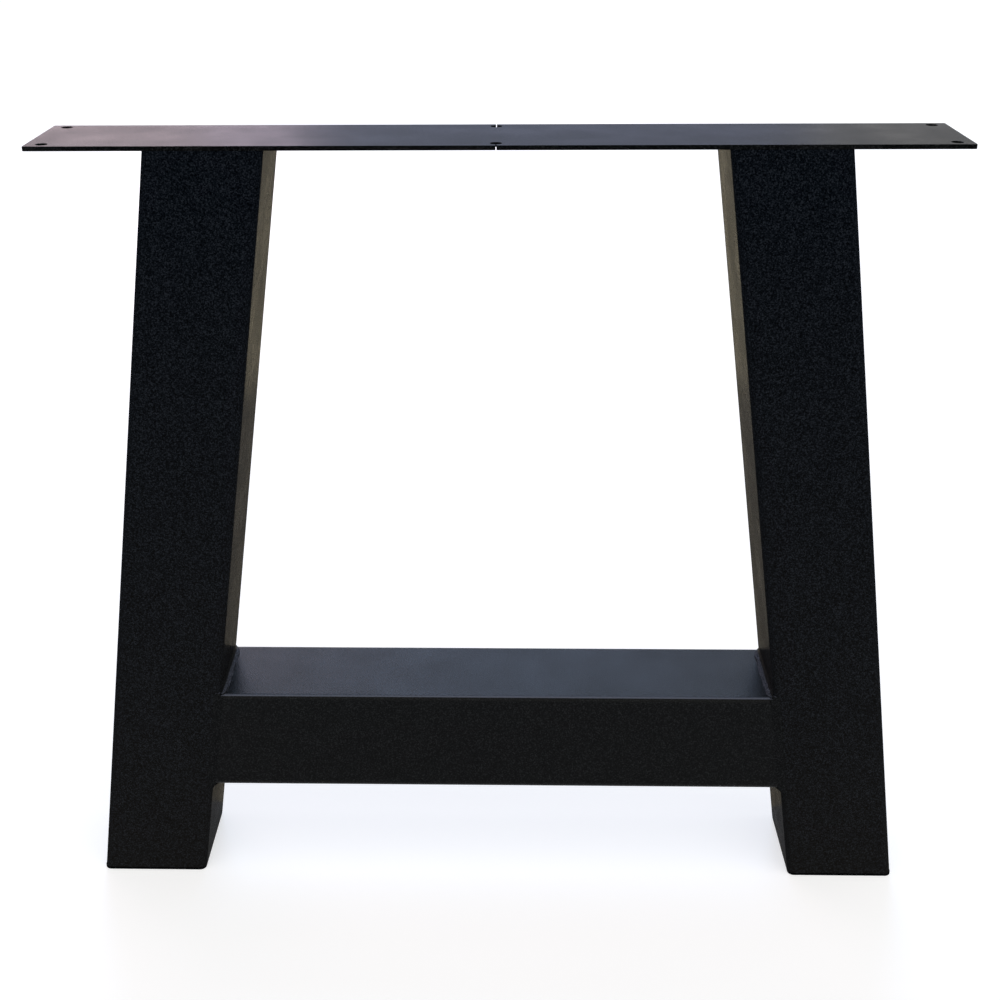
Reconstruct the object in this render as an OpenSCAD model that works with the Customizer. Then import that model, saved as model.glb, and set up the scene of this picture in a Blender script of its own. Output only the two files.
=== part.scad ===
// Raked A-frame table leg: a flat screw plate on two leaning square tubes, tied by a low
// crossbar of the same tube. All of it is welded steel under one black powder coat.
// X runs along the plate, Y across it, Z up. The origin is on the floor, midway between
// the feet. The front faces of the plate, legs and crossbar lie in one plane.

/* [Frame] */
// Height from the floor to the top of the plate
frame_h = 720; // [600:5:900]
// Width over the outer faces of the two feet, at the floor
foot_spread = 780; // [640:10:1000]
// Height of the crossbar's underside above the floor
crossbar_z = 100; // [60:5:300]

/* [Steel tube] */
// Side of the square tube, outside
tube_side = 100; // [60:5:120]
// Wall thickness of the tube
tube_wall = 3; // [2:0.5:5]
// Outside corner radius of the tube
tube_corner_r = 6; // [5.5:0.5:10]

/* [Screw plate] */
// Length of the plate
plate_l = 780; // [660:10:1100]
// Thickness of the plate
plate_t = 4; // [3:0.5:10]
// Radius of the plate's corners, in plan
plate_corner_r = 2; // [0.5:0.5:6]
// From each end of the plate to the outer face of the leg under it
plate_overhang = 98; // [20:1:150]

/* [Screw holes] */
// Diameter of every screw hole
screw_hole_d = 10; // [5:0.5:12]
// From the plate's end to the centre of a corner hole
hole_end_inset = 14; // [10:1:40]
// From the plate's long edge to the centre of each hole
hole_edge_inset = 10; // [8:1:20]
// Width of the saw-thin slit that opens each middle hole to the long edge
slit_w = 1.5; // [0.5:0.5:4]

/* [Feet] */
// Thickness of the plate that closes each foot
foot_plate_t = 3; // [2:0.5:8]
// Width of the ledge round the foot plate that its weld fills
foot_ledge = 1.5; // [1:0.25:2.5]
// Diameter of the vent in each foot plate
foot_vent_d = 8; // [4:1:16]
// Diameter of the vent from each leg into the crossbar
crossbar_vent_d = 12; // [6:1:30]

/* [Welds] */
// Leg length of the bead above and below the crossbar
bead_leg = 6; // [3:0.5:10]
// Leg length of the beads under the plate
plate_bead_leg = 2; // [1:0.5:6]
// From the leg's front and back to the ends of its beads under the plate
plate_bead_setback = 12; // [8:1:20]
// How far the dressed seam on the front and back laps onto the flat of each tube
seam_lap = 0.8; // [0.4:0.2:4]
// How far the middle of the dressed seam stands proud of the faces
seam_crown = 0.4; // [0.3:0.1:1]
// How far its long edges stand proud of the faces
seam_edge = 0.1; // [0.05:0.05:0.2]

/* [Hidden] */
$fn = 96;

coat_colour = [0.09, 0.095, 0.105];
plate_colour = [0.33, 0.33, 0.37];
weld_colour = [0.14, 0.14, 0.15];

// how far a cutting or limiting solid runs past what it cuts
overrun = 10;

plate_w = tube_side;
leg_top = frame_h - plate_t;
foot_half = foot_spread / 2;
leg_top_half = plate_l / 2 - plate_overhang;
rake = atan((foot_half - leg_top_half) / leg_top);
crossbar_top = crossbar_z + tube_side;
bore_side = tube_side - 2 * tube_wall;

// The crossbar's beads and seams meet where the tubes' corners are half turned
seam_depth = tube_corner_r / 2;

// Distance from the middle to a leg's outer or inner face, at height z
function leg_outer_x(z) = foot_half - z * tan(rake);
function leg_inner_x(z) = leg_outer_x(z) - tube_side / cos(rake);

// Rectangle with rounded corners, centred
module rounded_rectangle(l, w, r) {
    square([l - 2 * r, w], center = true);
    square([l, w - 2 * r], center = true);
    for (x = [-1, 1], y = [-1, 1])
        translate([x * (l / 2 - r), y * (w / 2 - r)])
            circle(r);
}

// Outline of the tube, and of the hollow inside it
module tube_outline() {
    rounded_rectangle(tube_side, tube_side, tube_corner_r);
}
module tube_hollow() {
    rounded_rectangle(bore_side, bore_side, tube_corner_r - tube_wall);
}

// Puts its children in the left leg's own frame: x from the outer face inwards, z up the leg
module in_leg_frame() {
    translate([-foot_half, 0, 0])
        rotate([0, rake, 0])
            children();
}

// An outline of the tube as a long leaning bar, past both ends of the left leg
module leaning_bar() {
    in_leg_frame()
        translate([tube_side / 2, 0, -tube_side])
            linear_extrude(frame_h / cos(rake) + 2 * tube_side)
                children();
}

// The level layer of space from height z0 to z1
module layer(z0, z1) {
    translate([-foot_half - overrun, -tube_side / 2 - overrun, z0])
        cube([foot_spread + 2 * overrun, tube_side + 2 * overrun, z1 - z0]);
}

// The space between the inner faces of the two legs
module between_legs() {
    rotate([90, 0, 0])
        linear_extrude(tube_side + 2 * overrun, center = true)
            polygon([
                [-leg_inner_x(0), 0], [leg_inner_x(0), 0],
                [leg_inner_x(leg_top), leg_top], [-leg_inner_x(leg_top), leg_top],
            ]);
}

// An outline of the tube as a level bar from leg to leg
module level_bar() {
    translate([-foot_half, 0, crossbar_z + tube_side / 2])
        rotate([90, 0, 90])
            linear_extrude(foot_spread)
                children();
}

// Round hole that a slit opens to the plate's long edge, towards -Y
module keyhole() {
    circle(d = screw_hole_d);
    translate([-slit_w / 2, -hole_edge_inset - overrun])
        square([slit_w, hole_edge_inset + overrun]);
}

module top_plate() {
    hole_x = plate_l / 2 - hole_end_inset;
    hole_y = plate_w / 2 - hole_edge_inset;
    color(plate_colour)
        translate([0, 0, leg_top])
            linear_extrude(plate_t)
                difference() {
                    rounded_rectangle(plate_l, plate_w, plate_corner_r);
                    for (x = [-1, 1], y = [-1, 1])
                        translate([x * hole_x, y * hole_y])
                            circle(d = screw_hole_d);
                    for (turn = [0, 180])
                        rotate(turn)
                            translate([0, -hole_y])
                                keyhole();
                }
}

// Square tube cut level at both ends, with a vent into the crossbar
module leg() {
    vent_z = (crossbar_z + tube_side / 2) / cos(rake);
    color(coat_colour)
        difference() {
            intersection() {
                leaning_bar() tube_outline();
                layer(foot_plate_t, leg_top);
            }
            leaning_bar() tube_hollow();
            in_leg_frame()
                translate([tube_side - tube_wall - overrun, 0, vent_z])
                    rotate([0, 90, 0])
                        cylinder(d = crossbar_vent_d, h = tube_wall + 2 * overrun);
        }
}

module crossbar() {
    color(coat_colour)
        intersection() {
            level_bar()
                difference() {
                    tube_outline();
                    tube_hollow();
                }
            between_legs();
        }
}

// Middle of a foot at the floor, and the level section of the leg there, less an inset all round
foot_x = (leg_outer_x(0) + leg_inner_x(0)) / 2;
module foot_outline(inset) {
    rounded_rectangle(
        tube_side / cos(rake) - 2 * inset,
        tube_side - 2 * inset,
        tube_corner_r - inset);
}

module foot_plate() {
    color(coat_colour)
        translate([-foot_x, 0, 0])
            linear_extrude(foot_plate_t)
                difference() {
                    foot_outline(foot_ledge);
                    circle(d = foot_vent_d);
                }
}

// The seam that fills the ledge round the foot plate, dressed flush with the tube
module foot_weld() {
    color(weld_colour)
        translate([-foot_x, 0, 0])
            linear_extrude(foot_plate_t)
                difference() {
                    foot_outline(0);
                    foot_outline(foot_ledge);
                }
}

// Rounded bead along Y in the corner at x, z. Its middle lies inside the steel, sunk by its
// leg length both ways, so that only a low crown shows. dx and dz point out of the corner.
module bead(x, z, dx, dz, leg_length, run) {
    bead_r = leg_length * sqrt(5);
    limit = leg_length * (1 + abs(tan(rake)));
    color(weld_colour)
        difference() {
            intersection() {
                translate([x - dx * leg_length, 0, z - dz * leg_length])
                    rotate([90, 0, 0])
                        cylinder(r = bead_r, h = run, center = true);
                translate([x, 0, z])
                    cube([2 * limit, run, 2 * limit], center = true);
            }
            leaning_bar() square(tube_side, center = true);
            level_bar() square(tube_side, center = true);
        }
}

// The beads above and below the crossbar, in the corners with the leg's inner face
module upper_bead() {
    bead(-leg_inner_x(crossbar_top), crossbar_top, 1, 1, bead_leg, tube_side - 2 * seam_depth);
}
module lower_bead() {
    bead(-leg_inner_x(crossbar_z), crossbar_z, 1, -1, bead_leg, tube_side - 2 * seam_depth);
}

// Cross-section of a dressed seam, from the flat of the leg to the flat of the crossbar:
// a low crown over the groove that the leg's round corner leaves
module seam_outline() {
    seam_w = tube_corner_r + 2 * seam_lap;
    rise = seam_crown - seam_edge;
    crown_r = (seam_w * seam_w / 4 + rise * rise) / (2 * rise);
    translate([tube_side - tube_corner_r / 2, -tube_side / 2 - seam_crown])
        intersection() {
            translate([0, crown_r]) circle(crown_r, $fn = 360);
            translate([-seam_w / 2, 0]) square([seam_w, seam_depth + seam_crown]);
        }
}

// The seam on the front, which turns the corner to the ends of both beads
module front_seam() {
    color(weld_colour)
        difference() {
            intersection() {
                in_leg_frame()
                    linear_extrude(frame_h)
                        seam_outline();
                layer(crossbar_z - bead_leg / 2, crossbar_top + bead_leg / 2);
            }
            leaning_bar() tube_outline();
            intersection() {
                level_bar() tube_outline();
                between_legs();
            }
        }
}

// The beads that hold the plate, on the outer and the inner face of the leg
module plate_bead(x, dx) {
    intersection() {
        bead(x, leg_top, dx, -1, plate_bead_leg, tube_side - 2 * plate_bead_setback);
        layer(0, leg_top);
    }
}
module outer_plate_bead() {
    plate_bead(-leg_outer_x(leg_top), -1);
}
module inner_plate_bead() {
    plate_bead(-leg_inner_x(leg_top), 1);
}

module right() {
    mirror([1, 0, 0]) children();
}
module back() {
    mirror([0, 1, 0]) children();
}

top_plate();
leg();  // left_leg
right() leg();  // right_leg
crossbar();
foot_plate();  // left_foot_plate
right() foot_plate();  // right_foot_plate
foot_weld();  // left_foot_weld
right() foot_weld();  // right_foot_weld
upper_bead();  // left_upper_bead
lower_bead();  // left_lower_bead
front_seam();  // left_front_seam
back() front_seam();  // left_back_seam
right() upper_bead();  // right_upper_bead
right() lower_bead();  // right_lower_bead
right() front_seam();  // right_front_seam
right() back() front_seam();  // right_back_seam
outer_plate_bead();  // left_outer_plate_bead
inner_plate_bead();  // left_inner_plate_bead
right() outer_plate_bead();  // right_outer_plate_bead
right() inner_plate_bead();  // right_inner_plate_bead
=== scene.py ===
# %% [markdown]
# # A welded steel table leg under matt black powder coat
#
# The real object is a flat screw plate on two raked square tubes, tied low down by a crossbar of the
# same tube. It is one rigid weldment, so everything here rides on a single body. The steel itself comes
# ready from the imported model. Blender's work is what makes it look like a made thing: rounded plate
# edges, rippled weld beads, dressed seams, and a coat with the fine skin that sprayed powder leaves.

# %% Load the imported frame
import math

import bmesh
import bpy
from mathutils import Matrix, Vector, noise


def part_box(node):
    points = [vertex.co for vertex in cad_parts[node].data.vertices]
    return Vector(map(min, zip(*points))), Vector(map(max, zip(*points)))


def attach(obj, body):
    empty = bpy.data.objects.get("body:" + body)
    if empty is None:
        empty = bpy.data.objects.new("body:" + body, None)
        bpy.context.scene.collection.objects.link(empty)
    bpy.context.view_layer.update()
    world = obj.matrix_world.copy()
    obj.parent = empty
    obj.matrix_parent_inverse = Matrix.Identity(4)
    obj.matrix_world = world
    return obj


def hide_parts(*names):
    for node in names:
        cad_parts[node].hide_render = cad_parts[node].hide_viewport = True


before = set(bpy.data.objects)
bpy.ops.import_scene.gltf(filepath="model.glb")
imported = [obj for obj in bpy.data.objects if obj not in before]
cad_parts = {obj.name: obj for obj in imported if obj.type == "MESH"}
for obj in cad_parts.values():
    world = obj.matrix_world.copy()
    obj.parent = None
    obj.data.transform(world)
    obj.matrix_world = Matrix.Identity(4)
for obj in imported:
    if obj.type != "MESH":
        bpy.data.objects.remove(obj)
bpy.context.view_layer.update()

scene = bpy.context.scene

# %% [markdown]
# ## The camera
#
# The picture was taken from a little above the plate, about 1.3 m in front of it, so the plate's top
# shows as a thin band and the crossbar's top as a wider one. Place, tilt and focal length were found by
# fitting the frame's own corners to the picture. The small shift puts the frame where the picture has it.

# %% Set the camera
CAMERA_PLACE = (0.0065, -1.2841, 0.9493)
CAMERA_TURN = (68.0, 0.396, 1.36)
SENSOR_WIDTH, FOCAL_LENGTH = 36, 54.34
CAMERA_SHIFT = (0.034, -0.048)

camera_data = bpy.data.cameras.new("front_camera")
camera_data.sensor_width = SENSOR_WIDTH
camera_data.lens = FOCAL_LENGTH
camera_data.shift_x, camera_data.shift_y = CAMERA_SHIFT
camera = bpy.data.objects.new("front_camera", camera_data)
camera.location = CAMERA_PLACE
camera.rotation_euler = tuple(math.radians(angle) for angle in CAMERA_TURN)
scene.collection.objects.link(camera)
scene.camera = camera
print("camera at", CAMERA_PLACE, "lens", FOCAL_LENGTH)

# %% [markdown]
# ## The floor
#
# The picture's ground is plain white, so the floor is a wide pale sheet that fills the whole view. Lit to
# white it would need so much light that the steel would look grey. So it keeps a plain colour for the
# light that it throws back, and a glow is added only for rays from the eye and rays that gloss sends out.
# The Light Path node tells those rays from the others, and the table leg's shadow stays on the floor.

# %% Floor helpers
WHITE = (1, 1, 1, 1)


def seen_or_reflected(tree):
    """A value of 1 for rays that see a thing directly, in gloss or through glass, and 0 otherwise."""
    rays = tree.nodes.new("ShaderNodeLightPath")
    total = rays.outputs["Is Camera Ray"]
    for kind in ("Is Glossy Ray", "Is Transmission Ray"):
        either = tree.nodes.new("ShaderNodeMath")
        either.operation = "MAXIMUM"
        tree.links.new(total, either.inputs[0])
        tree.links.new(rays.outputs[kind], either.inputs[1])
        total = either.outputs[0]
    return total


def glow_in_view(material, glow):
    """Adds a glow to a stage material that lights nothing, and only shows to the eye and in gloss."""
    tree = material.node_tree
    shader = tree.nodes["Principled BSDF"]
    light = tree.nodes.new("ShaderNodeEmission")
    lit = tree.nodes.new("ShaderNodeAddShader")
    choice = tree.nodes.new("ShaderNodeMixShader")
    light.inputs["Color"].default_value = WHITE
    light.inputs["Strength"].default_value = glow
    tree.links.new(shader.outputs[0], lit.inputs[0])
    tree.links.new(light.outputs[0], lit.inputs[1])
    tree.links.new(seen_or_reflected(tree), choice.inputs["Fac"])
    tree.links.new(shader.outputs[0], choice.inputs[1])
    tree.links.new(lit.outputs[0], choice.inputs[2])
    tree.links.new(choice.outputs[0], tree.nodes["Material Output"].inputs["Surface"])


def stage_piece(name, bm, material):
    """Makes a stage object, which isn't part of the table leg, from a bmesh."""
    mesh = bpy.data.meshes.new(name)
    bm.to_mesh(mesh)
    bm.free()
    mesh.materials.append(material)
    piece = bpy.data.objects.new(name, mesh)
    scene.collection.objects.link(piece)
    return piece


# %% Lay the floor
FLOOR_COLOUR = (0.60, 0.595, 0.585, 1)
FLOOR_ROUGHNESS = 0.9
FLOOR_GLOW = 0.60
FLOOR_SIZE = 30
FLOOR_DROP = 0.0002

floor_paint = bpy.data.materials.new("pale_floor")
floor_paint.use_nodes = True
paint = floor_paint.node_tree.nodes["Principled BSDF"]
paint.inputs["Base Color"].default_value = FLOOR_COLOUR
paint.inputs["Roughness"].default_value = FLOOR_ROUGHNESS
paint.inputs["Specular IOR Level"].default_value = 0.0
glow_in_view(floor_paint, FLOOR_GLOW)

bm = bmesh.new()
bmesh.ops.create_grid(bm, x_segments=1, y_segments=1, size=FLOOR_SIZE)
bmesh.ops.translate(bm, verts=bm.verts, vec=(0, 0, -FLOOR_DROP))
studio_floor = stage_piece("studio_floor", bm, floor_paint)
print("floor", tuple(round(side, 1) for side in studio_floor.dimensions))

# %% [markdown]
# ## The room
#
# The world is the soft light of the room. It is even and slightly cool, and together with the key lamp it
# gives a level at which a colour renders about as it is written. Seen directly or in gloss it is plain
# white, like the floor.

# %% Fill the room with light
WORLD_COLOUR = (0.94, 0.98, 1.08, 1)
WORLD_LEVEL = 0.36

world = bpy.data.worlds.new("soft_room")
world.use_nodes = True
air = world.node_tree
room_light = air.nodes["Background"]
room_light.inputs["Color"].default_value = WORLD_COLOUR
room_light.inputs["Strength"].default_value = WORLD_LEVEL
backdrop = air.nodes.new("ShaderNodeBackground")
backdrop.inputs["Color"].default_value = WHITE
backdrop.inputs["Strength"].default_value = 1.0
either = air.nodes.new("ShaderNodeMixShader")
air.links.new(seen_or_reflected(air), either.inputs["Fac"])
air.links.new(room_light.outputs[0], either.inputs[1])
air.links.new(backdrop.outputs[0], either.inputs[2])
air.links.new(either.outputs[0], air.nodes["World Output"].inputs["Surface"])
scene.world = world
scene.view_settings.view_transform = "Standard"
print("room level", WORLD_LEVEL)

# %% [markdown]
# ## The lamps
#
# A coat this dark shows little of its own colour: what the eye reads on it is the reflection of its
# surroundings. So the lamps are placed for their reflections, and none of them shows to the camera. The key
# lamp stands high in front and makes the shadow. A smaller disc of cool light behind shows in the
# crossbar's top. Three panels stand low at the back, where the plate's top mirrors them: the left one lays
# a lilac sheen over that end, the middle one is blue and the right one is nearly white. Two warm panels lie
# on the floor behind and face up. The inner faces of the legs lean over them and mirror them at a low
# angle, so they are warm and light at the top and darker further down.

# %% Lamp helpers
AIM_POINT = (0, 0, 0.6)
DISC_DISTANCE = 3


def lamp_towards(name, lamp, place, target):
    """Puts a lamp at a place, facing a target."""
    piece = bpy.data.objects.new(name, lamp)
    piece.location = place
    piece.rotation_euler = (Vector(target) - Vector(place)).to_track_quat("-Z", "Y").to_euler()
    piece.visible_camera = False
    scene.collection.objects.link(piece)
    return piece


def disc_lamp(name, direction, width, level, colour):
    """A soft disc of light in the sky, as wide as its angle in degrees."""
    disc = bpy.data.lights.new(name, "SUN")
    disc.angle = math.radians(width)
    disc.energy = level
    disc.color = colour
    print(name, "level", level)
    return lamp_towards(name, disc, Vector(direction) * DISC_DISTANCE, (0, 0, 0))


def panel_lamp(name, place, size, radiance, colour, target=AIM_POINT):
    """A flat panel of light that faces a target, given by how bright its surface looks."""
    panel = bpy.data.lights.new(name, "AREA")
    panel.shape = "RECTANGLE"
    panel.size, panel.size_y = size
    panel.energy = radiance * math.pi * panel.size * panel.size_y
    panel.color = colour
    print(name, "power", round(panel.energy, 1), "W")
    return lamp_towards(name, panel, place, target)


# %% Set up the lamps
KEY_DISC = dict(direction=(0.3, -0.62, 1.0), width=80, level=1.1, colour=(1.05, 1.0, 0.93))
BACK_DISC = dict(direction=(-0.02, 1.0, 0.80), width=24, level=1.03, colour=(0.60, 0.82, 1.22))
LEFT_PANEL = dict(place=(-1.93, 3.4, 1.28), size=(2.8, 0.96), radiance=4.1, colour=(1.0, 0.77, 0.86))
BACK_PANEL = dict(place=(0.0, 4.2, 1.35), size=(2.2, 1.2), radiance=0.6, colour=(0.10, 0.25, 1.0))
RIGHT_PANEL = dict(place=(1.8, 4.2, 1.35), size=(1.4, 1.2), radiance=0.5, colour=(1.0, 0.95, 0.97))
FAR_FLOOR_PANEL = dict(place=(-0.4, 2.85, 0.01), size=(1.3, 3.2), radiance=2.9, colour=(1.0, 0.83, 0.45),
                       target=(-0.4, 2.85, 5.0))
NEAR_FLOOR_PANEL = dict(place=(0.0, 0.65, 0.01), size=(1.2, 1.2), radiance=0.5, colour=(1.0, 0.66, 0.02),
                        target=(0.0, 0.65, 5.0))

disc_lamp("key_disc", **KEY_DISC)
disc_lamp("back_disc", **BACK_DISC)
panel_lamp("left_panel", **LEFT_PANEL)
panel_lamp("back_panel", **BACK_PANEL)
panel_lamp("right_panel", **RIGHT_PANEL)
panel_lamp("far_floor_panel", **FAR_FLOOR_PANEL)
panel_lamp("near_floor_panel", **NEAR_FLOOR_PANEL)

# %% [markdown]
# ## The powder coat
#
# The finish is jet black powder, sprayed on dry and melted in an oven. It flows into a skin that is matt
# but not dead, with a pebbled texture about a millimetre across and a finer grain on top. One noise
# pattern drives both the relief and the tone. The tone is painted paler on the tops of the pebbles as
# painted glints, and darker in the pits between them as painted shade. On the plate a faint haze of dust
# lies in clouds, and on the legs a warm tone is laid that is strongest at the floor and thins out with
# height. Rims that face up are found by the direction of the surface and get a pale bluish painted
# highlight. Over the ripples of a weld and the lump of a seam that painted highlight comes in patches.
#
# The patterns are noise on Object coordinates, which stay with the steel from every side. Numbers that
# are the same all over are set on the shader itself, so that an export keeps them.

# %% Pattern helpers
def noise_at(tree, size, detail, place):
    """A noise pattern whose lumps are about size across, in metres."""
    pattern = tree.nodes.new("ShaderNodeTexNoise")
    pattern.inputs["Scale"].default_value = 1 / size
    pattern.inputs["Detail"].default_value = detail
    tree.links.new(place.outputs["Object"], pattern.inputs["Vector"])
    return pattern


def graded(tree, value, stops):
    """Turns a value into a colour that passes through the stops, each a position and a colour."""
    ramp = tree.nodes.new("ShaderNodeValToRGB")
    while len(ramp.color_ramp.elements) < len(stops):
        ramp.color_ramp.elements.new(0.5)
    for element, (position, colour) in zip(ramp.color_ramp.elements, stops):
        element.position = position
        element.color = (*colour, 1)
    tree.links.new(value, ramp.inputs["Fac"])
    return ramp.outputs["Color"]


def laid_over(tree, below, colour, amount):
    """Lays one colour over another, as thick as the amount says at each point."""
    mix = tree.nodes.new("ShaderNodeMix")
    mix.data_type = "RGBA"
    mix.inputs["B"].default_value = (*colour, 1)
    tree.links.new(amount, mix.inputs["Factor"])
    tree.links.new(below, mix.inputs["A"])
    return mix.outputs["Result"]


def thinned(tree, amount, pattern):
    """Multiplies an amount by a pattern."""
    product = tree.nodes.new("ShaderNodeMath")
    product.operation = "MULTIPLY"
    tree.links.new(amount, product.inputs[0])
    tree.links.new(pattern, product.inputs[1])
    return product.outputs[0]


def relief(tree, pattern, depth, under=None):
    """Turns a pattern into relief of a real depth, on top of another relief if there is one."""
    bump = tree.nodes.new("ShaderNodeBump")
    bump.inputs["Strength"].default_value = 1.0
    bump.inputs["Distance"].default_value = depth
    tree.links.new(pattern.outputs["Fac"], bump.inputs["Height"])
    if under:
        tree.links.new(under.outputs["Normal"], bump.inputs["Normal"])
    return bump


# %% Parts of the powder coat
SKIN_SIZE = 1.15e-3
GRAIN_SIZE = 0.45e-3
CLOUD_SIZE = 0.045
GRAIN_SHARE = 0.25
ROUGHNESS_DRIFT = 0.04
NOISE_RANGE = (0.3, 0.7)
# The skin's tone runs from painted shade in its pits, through the coat's black, to painted glints on its
# tops.
PIT_SHADE_AND_GLINT_STOPS = (0.34, 0.52, 0.70)
HAZE_STOPS = (0.46, 0.74)
DUST_TONE = (0.055, 0.056, 0.056)
# A warm tone laid on the legs, strongest at the floor and gone at the height below.
LOW_WARM_TONE = (0.064, 0.053, 0.036)
LOW_WARMTH_HEIGHT = 0.68
# The pale bluish tone of the painted highlight on rims that face up.
RIM_HIGHLIGHT_TONE = (0.125, 0.135, 0.168)
BLOOM_TONE = (1.0, 0.70, 0.30, 1)
BLOOM_ROUGHNESS = 0.45
# How much painted highlight is laid on, by how far the surface faces up: 0 is a wall and 1 is level.
RIM_HIGHLIGHT_STOPS = ((0.80, 0.0), (0.85, 0.9), (0.92, 1.0), (0.955, 0.5), (0.985, 0.3), (0.9995, 0.0))
# For the seams, a painted glint on every part that faces up even a little, such as the lump at the top.
LUMP_GLINT_STOPS = ((0.25, 0.0), (0.5, 1.0), (0.95, 1.0))
# How much of the painted highlight is left over the skin's pattern, from its pits to its specks.
HIGHLIGHT_PATCH_STOPS = ((0.38, (0.15, 0.15, 0.15)), (0.60, (1.0, 1.0, 1.0)))


def grey(level):
    """A colour with the same level in all three channels."""
    return (level, level, level)


def dust_haze(tree, colour, clouds, amount):
    """Lays thin dust over a colour where the clouds are."""
    clear, thick = HAZE_STOPS
    haze = graded(tree, clouds.outputs["Fac"], ((clear, grey(0)), (thick, grey(amount))))
    return laid_over(tree, colour, DUST_TONE, haze)


def warmer_towards_floor(tree, colour, place, amount):
    """Lays a warm tone over a colour, strongest at the floor and thinning out with height."""
    heights = tree.nodes.new("ShaderNodeSeparateXYZ")
    settled = tree.nodes.new("ShaderNodeMapRange")
    settled.inputs["From Max"].default_value = LOW_WARMTH_HEIGHT
    settled.inputs["To Min"].default_value = amount
    settled.inputs["To Max"].default_value = 0.0
    tree.links.new(place.outputs["Object"], heights.inputs["Vector"])
    tree.links.new(heights.outputs["Z"], settled.inputs["Value"])
    return laid_over(tree, colour, LOW_WARM_TONE, settled.outputs["Result"])


def painted_rim_highlight(tree, colour, place, amount, stops, patches):
    """Paints a pale highlight on rims that face up, in patches if there is a pattern."""
    facing = tree.nodes.new("ShaderNodeSeparateXYZ")
    tree.links.new(place.outputs["Normal"], facing.inputs["Vector"])
    rims = graded(tree, facing.outputs["Z"], [(at, grey(amount * share)) for at, share in stops])
    if patches:
        rims = thinned(tree, rims, graded(tree, patches.outputs["Fac"], HIGHLIGHT_PATCH_STOPS))
    return laid_over(tree, colour, RIM_HIGHLIGHT_TONE, rims)


def drifting_roughness(tree, clouds, roughness):
    """Lets the roughness drift a little with the clouds."""
    drift = tree.nodes.new("ShaderNodeMapRange")
    drift.inputs["From Min"].default_value, drift.inputs["From Max"].default_value = NOISE_RANGE
    drift.inputs["To Min"].default_value = roughness - ROUGHNESS_DRIFT
    drift.inputs["To Max"].default_value = roughness + ROUGHNESS_DRIFT
    tree.links.new(clouds.outputs["Fac"], drift.inputs["Value"])
    return drift.outputs["Result"]


# %% The whole powder coat
def powder_coat(name, tones, gloss, roughness, skin_depth,
                dust=0.0, rim_highlight=0.0, rim_highlight_stops=RIM_HIGHLIGHT_STOPS, patchy=False, bloom=0.0, low_warmth=0.0):
    """Black powder coat: pebbled skin with painted glints and pit shade, dust, a warm tone that fades with
    height, painted highlights on rims that face up, and a bloom at low angles.
    """
    material = bpy.data.materials.new(name)
    material.use_nodes = True
    tree = material.node_tree
    shader = tree.nodes["Principled BSDF"]
    place = tree.nodes.new("ShaderNodeTexCoord")

    skin = noise_at(tree, SKIN_SIZE, detail=3, place=place)
    clouds = noise_at(tree, CLOUD_SIZE, detail=4, place=place)
    # The tone follows the skin's relief: painted shade in the pits and painted glints on the tops.
    colour = graded(tree, skin.outputs["Fac"], tuple(zip(PIT_SHADE_AND_GLINT_STOPS, tones)))
    if dust:
        colour = dust_haze(tree, colour, clouds, dust)
    if low_warmth:
        # A warm tone, strongest at the floor and thinning out with height.
        colour = warmer_towards_floor(tree, colour, place, low_warmth)
    # A painted highlight on rims that face up.
    if rim_highlight:
        colour = painted_rim_highlight(tree, colour, place, rim_highlight, rim_highlight_stops, skin if patchy else None)
    tree.links.new(colour, shader.inputs["Base Color"])
    tree.links.new(drifting_roughness(tree, clouds, roughness), shader.inputs["Roughness"])

    grain = noise_at(tree, GRAIN_SIZE, detail=1, place=place)
    pebbles = relief(tree, skin, skin_depth)
    surface = relief(tree, grain, skin_depth * GRAIN_SHARE, under=pebbles)
    tree.links.new(surface.outputs["Normal"], shader.inputs["Normal"])
    shader.inputs["Specular IOR Level"].default_value = gloss
    shader.inputs["Sheen Weight"].default_value = bloom
    shader.inputs["Sheen Roughness"].default_value = BLOOM_ROUGHNESS
    shader.inputs["Sheen Tint"].default_value = BLOOM_TONE
    print(name, "gloss", gloss, "roughness", roughness)
    return material


# %% [markdown]
# ## One coat for each kind of surface
#
# The same powder doesn't lie alike everywhere. The gun sees the plate and the crossbar squarely, and they
# come out a little glossier than the legs. The welds keep the roughness of the steel under them. The ground
# seams at the feet are the dullest and darker than the legs, which paints a shade along the floor line.
# Each set of tones goes from painted shade in the pits of the skin to painted glints on its specks.

# %% Mix one coat for each kind of surface
# Each row: painted pit shade, the coat's own black, painted glint.
PLAIN_TONES = ((0.0004, 0.0006, 0.0008), (0.0032, 0.0037, 0.0040), (0.0190, 0.0205, 0.0212))
LEG_TONES = ((0.0007, 0.0013, 0.0023), (0.0058, 0.0080, 0.0113), (0.0250, 0.0298, 0.0370))
WELD_TONES = ((0.0006, 0.0008, 0.0009), (0.0038, 0.0045, 0.0048), (0.0200, 0.0215, 0.0220))

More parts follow.
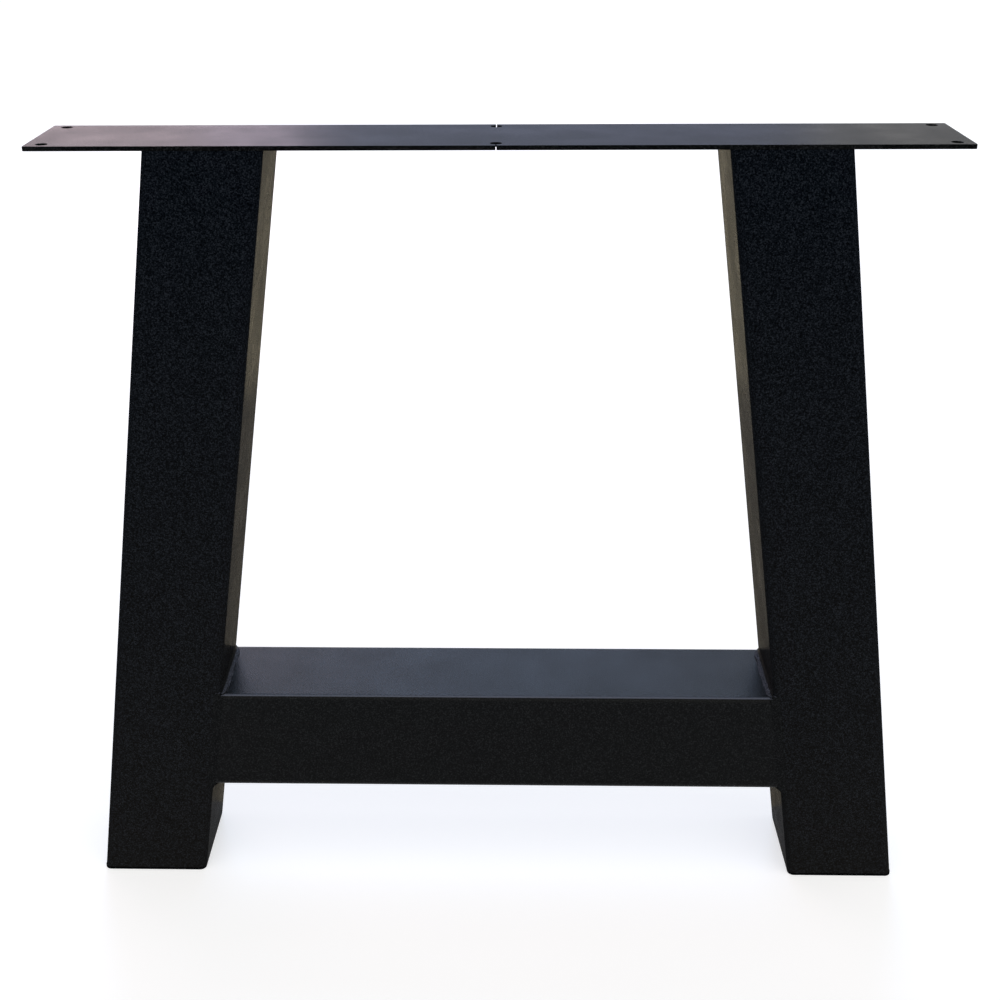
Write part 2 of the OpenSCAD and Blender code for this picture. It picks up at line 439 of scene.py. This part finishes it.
# rim_highlight paints a pale highlight on rims that face up: a line on the crossbar's top rims, a faint
# line on the plate, patches on the weld beads and a glint on the seam lumps.
bar_coat = powder_coat("bar_coat", PLAIN_TONES, gloss=0.064, roughness=0.36, skin_depth=2.2e-4, rim_highlight=0.9)
leg_coat = powder_coat("leg_coat", LEG_TONES, gloss=0.0003, roughness=0.28, skin_depth=2.4e-4,
                       bloom=0.002, low_warmth=0.15)
plate_coat = powder_coat("plate_coat", PLAIN_TONES, gloss=0.0120, roughness=0.32, skin_depth=1.0e-4,
                         dust=0.14, rim_highlight=0.15)
bead_coat = powder_coat("bead_coat", WELD_TONES, gloss=0.02, roughness=0.5, skin_depth=3.2e-4,
                        rim_highlight=0.55, patchy=True)
seam_coat = powder_coat("seam_coat", PLAIN_TONES, gloss=0.05, roughness=0.42, skin_depth=3.0e-4,
                        rim_highlight=0.5, rim_highlight_stops=LUMP_GLINT_STOPS, patchy=True)
# The feet take darker tones than the legs and no gloss, a painted shade along the floor line.
foot_coat_with_painted_shade = powder_coat("foot_coat_with_painted_shade", PLAIN_TONES, gloss=0.0, roughness=0.6, skin_depth=2.8e-4)

# %% [markdown]
# ## Copies to work on
#
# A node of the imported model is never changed. Where a piece needs more shape, a copy of its mesh is
# merged into a proper solid, and the flat faces are dissolved into single ones. The copy is then worked
# with bmesh operators and stands in for the node.

# %% Copy and finish helpers
MERGE_DISTANCE = 1e-6
FLAT_ANGLE = math.radians(0.4)
SHARP_ANGLE = math.radians(40)


def merged_copy(node):
    """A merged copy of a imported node, with each flat side as one face."""
    bm = bmesh.new()
    bm.from_mesh(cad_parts[node].data)
    bmesh.ops.remove_doubles(bm, verts=bm.verts, dist=MERGE_DISTANCE)
    bmesh.ops.dissolve_limit(bm, angle_limit=FLAT_ANGLE, verts=bm.verts, edges=bm.edges)
    return bm


def finished_piece(name, bm, coat, node):
    """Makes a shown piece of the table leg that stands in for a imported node."""
    mesh = bpy.data.meshes.new(name)
    bm.to_mesh(mesh)
    open_edges = sum(not edge.is_manifold for edge in bm.edges)
    bm.free()
    mesh.materials.append(coat)
    mesh.shade_smooth()
    mesh.set_sharp_from_angle(angle=SHARP_ANGLE)
    piece = bpy.data.objects.new(name, mesh)
    scene.collection.objects.link(piece)
    flats = piece.modifiers.new("keep_flats_flat", "WEIGHTED_NORMAL")
    flats.keep_sharp = True
    flats.weight = 100
    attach(piece, "root")
    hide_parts(node)
    print(name, "faces", len(mesh.polygons), "open edges", open_edges)
    return piece


# %% [markdown]
# ## The screw plate
#
# The plate is 4 mm strip, punched and then coated. Its edges aren't knife sharp: shearing, tumbling and
# the thickness of the powder round them to about half a millimetre. So every rim where the top or bottom
# meets a side gets a small bevel. The holes and the slits stay crisper, and the coat on both walls of a
# slit narrows it, so the vertices of its walls are drawn a little together.

# %% Rim helpers
SAME_HEIGHT = 1e-5
LEVEL_NORMAL = 0.99
OUTLINE_SHARE = 0.97


def level_rims(bm, heights):
    """Edges at one of the heights where a level face meets a side that isn't level."""
    found = []
    for edge in bm.edges:
        at_height = any(all(abs(v.co.z - h) < SAME_HEIGHT for v in edge.verts) for h in heights)
        level = [abs(face.normal.z) > LEVEL_NORMAL for face in edge.link_faces]
        if at_height and sorted(level) == [False, True]:
            found.append(edge)
    return found


def round_off(bm, edges, rounding, segments):
    """Rounds edges with a bevel, and says how many there were."""
    bmesh.ops.bevel(
        bm, geom=edges, offset=rounding, offset_type="OFFSET", segments=segments, profile=0.5,
        affect="EDGES", material=-1, clamp_overlap=False)
    print("edges rounded:", len(edges), "by", rounding * 1000, "mm")


def on_outline(edge, high):
    """Whether an edge lies on the plate's outline, and not on a hole or a slit."""
    middle = (edge.verts[0].co + edge.verts[1].co) / 2
    return max(abs(middle.x) / high.x, abs(middle.y) / high.y) > OUTLINE_SHARE


# %% Round the plate's rims
OUTLINE_ROUNDING = 0.45e-3
HOLE_ROUNDING = 0.25e-3
SLIT_REACH = 1.05e-3
COATED_SLIT = 0.56

bm = merged_copy("top_plate")
plate_low, plate_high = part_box("top_plate")
rims = level_rims(bm, (plate_low.z, plate_high.z))
outline_rims = [edge for edge in rims if on_outline(edge, plate_high)]
hole_rims = [edge for edge in rims if not on_outline(edge, plate_high)]
round_off(bm, outline_rims, OUTLINE_ROUNDING, segments=4)
round_off(bm, [edge for edge in hole_rims if edge.is_valid], HOLE_ROUNDING, segments=2)

for v in bm.verts:
    if abs(v.co.x) < SLIT_REACH:
        v.co.x *= COATED_SLIT
finished_piece("rounded_plate", bm, plate_coat, "top_plate")

# %% [markdown]
# ## The feet
#
# Each foot is closed by a plate let into the tube's end, with the seam round it ground flush. Nobody leaves
# that rim sharp, because it would cut the floor and chip the coat, so the bottom edge gets a small round.

# %% Round the feet
FOOT_ROUNDING = 0.7e-3

for side in ("left", "right"):
    bm = merged_copy(side + "_foot_weld")
    foot_low, foot_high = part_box(side + "_foot_weld")
    middle = (foot_low + foot_high) / 2
    outer_rims = [
        edge for edge in level_rims(bm, (foot_low.z,))
        if any(abs(face.normal.z) < LEVEL_NORMAL and face.normal.dot(face.calc_center_median() - middle) > 0
               for face in edge.link_faces)]
    round_off(bm, outer_rims, FOOT_ROUNDING, segments=3)
    finished_piece(side + "_foot_seam", bm, foot_coat_with_painted_shade, side + "_foot_weld")

# %% [markdown]
# ## Weld beads
#
# A bead is laid in one slow pass, and each little step of the torch freezes as a curved ripple, so a bead
# looks like a stack of tilted coins about 2 mm apart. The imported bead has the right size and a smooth
# crown. Its copy is cut into many thin slices along its run, and each slice is scaled about the corner
# that it sits in. Scaling about that corner keeps the bead seated on both faces while its crown ripples and
# its edges wander, as those of a hand-laid weld do. At its two ends the bead fades to a smaller size.

# %% Ripple helpers
SLICE = 0.45e-3
SAME_DIRECTION = 0.999
LONG_RUN = 10
# Each ripple bows by a share of the pitch. Its mean is taken off, so that the bead keeps its size.
CRESCENT = 0.35
MEAN_RIPPLE = 0.64
# The torch's steps drift by a share of the pitch, and the lay wanders faster than they do.
DRIFT, DRIFTS_PER_M = 0.5, 60
LAYS_PER_M, LAY_SEED = 110, 7


def slice_along(bm, direction, longest):
    """Cuts every edge that runs along a direction, so that no slice is thicker than longest."""
    runs = [edge for edge in bm.edges
            if abs((edge.verts[1].co - edge.verts[0].co).normalized().dot(direction)) > SAME_DIRECTION
            and edge.calc_length() > LONG_RUN * longest]
    cuts = round(max(edge.calc_length() for edge in runs) / longest)
    bmesh.ops.subdivide_edges(bm, edges=runs, cuts=cuts, use_grid_fill=True)


def seat_corner(bm, height, outside):
    """The line that a bead sits in: at this height, its point nearest to the leg."""
    at_seat = [v.co for v in bm.verts if abs(v.co.z - height) < SAME_HEIGHT]
    pick = min if outside else max
    nearest = pick(at_seat, key=lambda co: abs(co.x))
    return Vector((nearest.x, 0, nearest.z))


def ripple_bead(name, node, height, outside, seed, front_end, back_end, pitch, depth, wander, hollowness):
    """A bead whose slices swell and shrink about its corner. Each end has a share of size and a fading."""
    bm = merged_copy(node)
    corner = seat_corner(bm, height, outside)
    slice_along(bm, Vector((0, 1, 0)), SLICE)
    reach = max((Vector((v.co.x, 0, v.co.z)) - corner).length for v in bm.verts)
    run_end = max(abs(v.co.y) for v in bm.verts)
    for v in bm.verts:
        arm = Vector((v.co.x, 0, v.co.z)) - corner
        if arm.length < MERGE_DISTANCE / 10:
            continue
        turn = math.atan2(abs(arm.z), abs(arm.x)) / (math.pi / 2)
        crescent = CRESCENT * (2 * turn - 1) ** 2
        drift = DRIFT * noise.noise(Vector((v.co.y * DRIFTS_PER_M, seed, 0)))
        ripple = abs(math.sin(math.pi * (v.co.y / pitch + crescent + drift))) - MEAN_RIPPLE
        lay = noise.noise(Vector((v.co.y * LAYS_PER_M, seed + LAY_SEED, 2 * turn)))
        hollow = 1 - hollowness * math.sin(math.pi * turn)
        end_share, fading = front_end if v.co.y < 0 else back_end
        fade = min(1.0, (run_end - abs(v.co.y)) / fading)
        ending = end_share + (1 - end_share) * math.sin(fade * math.pi / 2)
        scale = ending * hollow * (1 + (depth * ripple) / reach + wander * lay)
        v.co.x, v.co.z = (corner + arm * scale).x, (corner + arm * scale).z
    bmesh.ops.recalc_face_normals(bm, faces=bm.faces)
    return finished_piece(name, bm, bead_coat, node)


# %% Lay the beads
CROSSBAR_BEAD = dict(pitch=2.3e-3, depth=0.45e-3, wander=0.10, hollowness=0.42)
PLATE_BEAD = dict(pitch=1.6e-3, depth=0.12e-3, wander=0.05, hollowness=0.3,
                  front_end=(0.4, 3e-3), back_end=(0.4, 3e-3))
bar_low, bar_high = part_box("crossbar")

for number, side in enumerate(("left", "right")):
    ripple_bead(side + "_upper_weld", side + "_upper_bead", height=bar_high.z, outside=False,
                seed=3 + number, front_end=(0.5, 9e-3), back_end=(0.15, 16e-3), **CROSSBAR_BEAD)
    ripple_bead(side + "_lower_weld", side + "_lower_bead", height=bar_low.z, outside=False,
                seed=13 + number, front_end=(0.8, 9e-3), back_end=(0.5, 9e-3), **CROSSBAR_BEAD)
    ripple_bead(side + "_inner_plate_weld", side + "_inner_plate_bead", height=plate_low.z,
                outside=False, seed=23 + number, **PLATE_BEAD)
    ripple_bead(side + "_outer_plate_weld", side + "_outer_plate_bead", height=plate_low.z,
                outside=True, seed=33 + number, **PLATE_BEAD)

# %% [markdown]
# ## Dressed seams
#
# On the front and the back the weld fills the groove beside the leg's round corner, and the welder grinds
# it nearly flush before coating. Grinding never gets it quite flat, so a faint waviness is left, with a
# small lump at the top where the torch stopped. The copy is sliced along the leg. Only the skin that stands
# proud of the steel moves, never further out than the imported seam's own crown, and past the crossbar each
# end runs out in a hollow curve against the leg. The seams at the back end a little lower at the top, where
# the crossbar's own round corner turns away.

# %% Seam helpers
SEAM_SLICE = 0.5e-3
SEAM_WAVE_LENGTH = 5e-3
SEAM_FLATNESS, SEAM_WAVE, SEAM_LUMP = 0.5, 0.3, 0.5
SEAM_SPREAD = 1.18
SEAM_SHIFT = 2.4e-3
LUMP_REACH = 2.2e-3
END_REACH = 3.1e-3
BACK_DROP, BACK_END = 3.2e-3, 0.35
WAVE_SEED_STEP = 5.0

left_leg_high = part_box("left_leg")[1]
leg_top_inner = abs(left_leg_high.x)
face_y = left_leg_high.y
lean = (bar_high.x - leg_top_inner) / (left_leg_high.z - bar_low.z)


def inner_face_x(height):
    """How far from the middle the leg's inner face is, at a height."""
    return bar_high.x - (height - bar_low.z) * lean


def grind(v, crown, seed):
    """Grinds a point that stands proud nearly flush, but for faint waves and the lump at the top."""
    proud = max(0.0, abs(v.co.y) - face_y)
    wave = noise.noise(Vector((v.co.x / SEAM_WAVE_LENGTH, v.co.z / SEAM_WAVE_LENGTH, seed)))
    lump = math.exp(-((bar_high.z - v.co.z) / LUMP_REACH) ** 2)
    share = min(1.0, SEAM_FLATNESS + SEAM_WAVE * wave + SEAM_LUMP * lump)
    v.co.y = math.copysign(face_y + min(crown, proud * share), v.co.y)


def run_out(v, across, drop):
    """Runs the seam's ends out past the crossbar, and gives how far across a point there then lies."""
    past = max(v.co.z - (bar_high.z - drop), bar_low.z - v.co.z)
    if past <= 0:
        return across
    at_top = v.co.z > (bar_high.z + bar_low.z) / 2
    if across < 0:
        reach = END_REACH + (drop if at_top else 0.0)
        across *= 1 - math.sqrt(1 - max(0.0, 1 - past / reach) ** 2)
    if drop and at_top:
        v.co.z = bar_high.z - drop + past * BACK_END
    return across


# %% Dress the seams
for number, (side, face) in enumerate((s, f) for s in ("left", "right") for f in ("front", "back")):
    node = side + "_" + face + "_seam"
    bm = merged_copy(node)
    long_edge = max(bm.edges, key=lambda edge: edge.calc_length())
    slice_along(bm, (long_edge.verts[1].co - long_edge.verts[0].co).normalized(), SEAM_SLICE)
    crown = max(abs(v.co.y) for v in bm.verts) - face_y
    for v in bm.verts:
        across = abs(v.co.x) - inner_face_x(v.co.z)
        if abs(v.co.y) > face_y - SAME_HEIGHT:
            across = across * SEAM_SPREAD - SEAM_SHIFT
            grind(v, crown, number * WAVE_SEED_STEP)
        across = run_out(v, across, BACK_DROP if face == "back" else 0.0)
        v.co.x = math.copysign(inner_face_x(v.co.z) + across, v.co.x)
    finished_piece(node.replace("_seam", "_dressed_seam"), bm, seam_coat, node)

# %% [markdown]
# ## The tubes
#
# The legs, the crossbar and the foot plates already have their true shape, down to the 6 mm corners of
# the tube, so they stay as they are and only take the coat.

# %% Coat the tubes
TUBE_COATS = {"left_leg": leg_coat, "right_leg": leg_coat, "crossbar": bar_coat,
              "left_foot_plate": foot_coat_with_painted_shade, "right_foot_plate": foot_coat_with_painted_shade}
for node, coat in TUBE_COATS.items():
    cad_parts[node].data.materials.clear()
    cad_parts[node].data.materials.append(coat)
print("tubes coated:", len(TUBE_COATS))
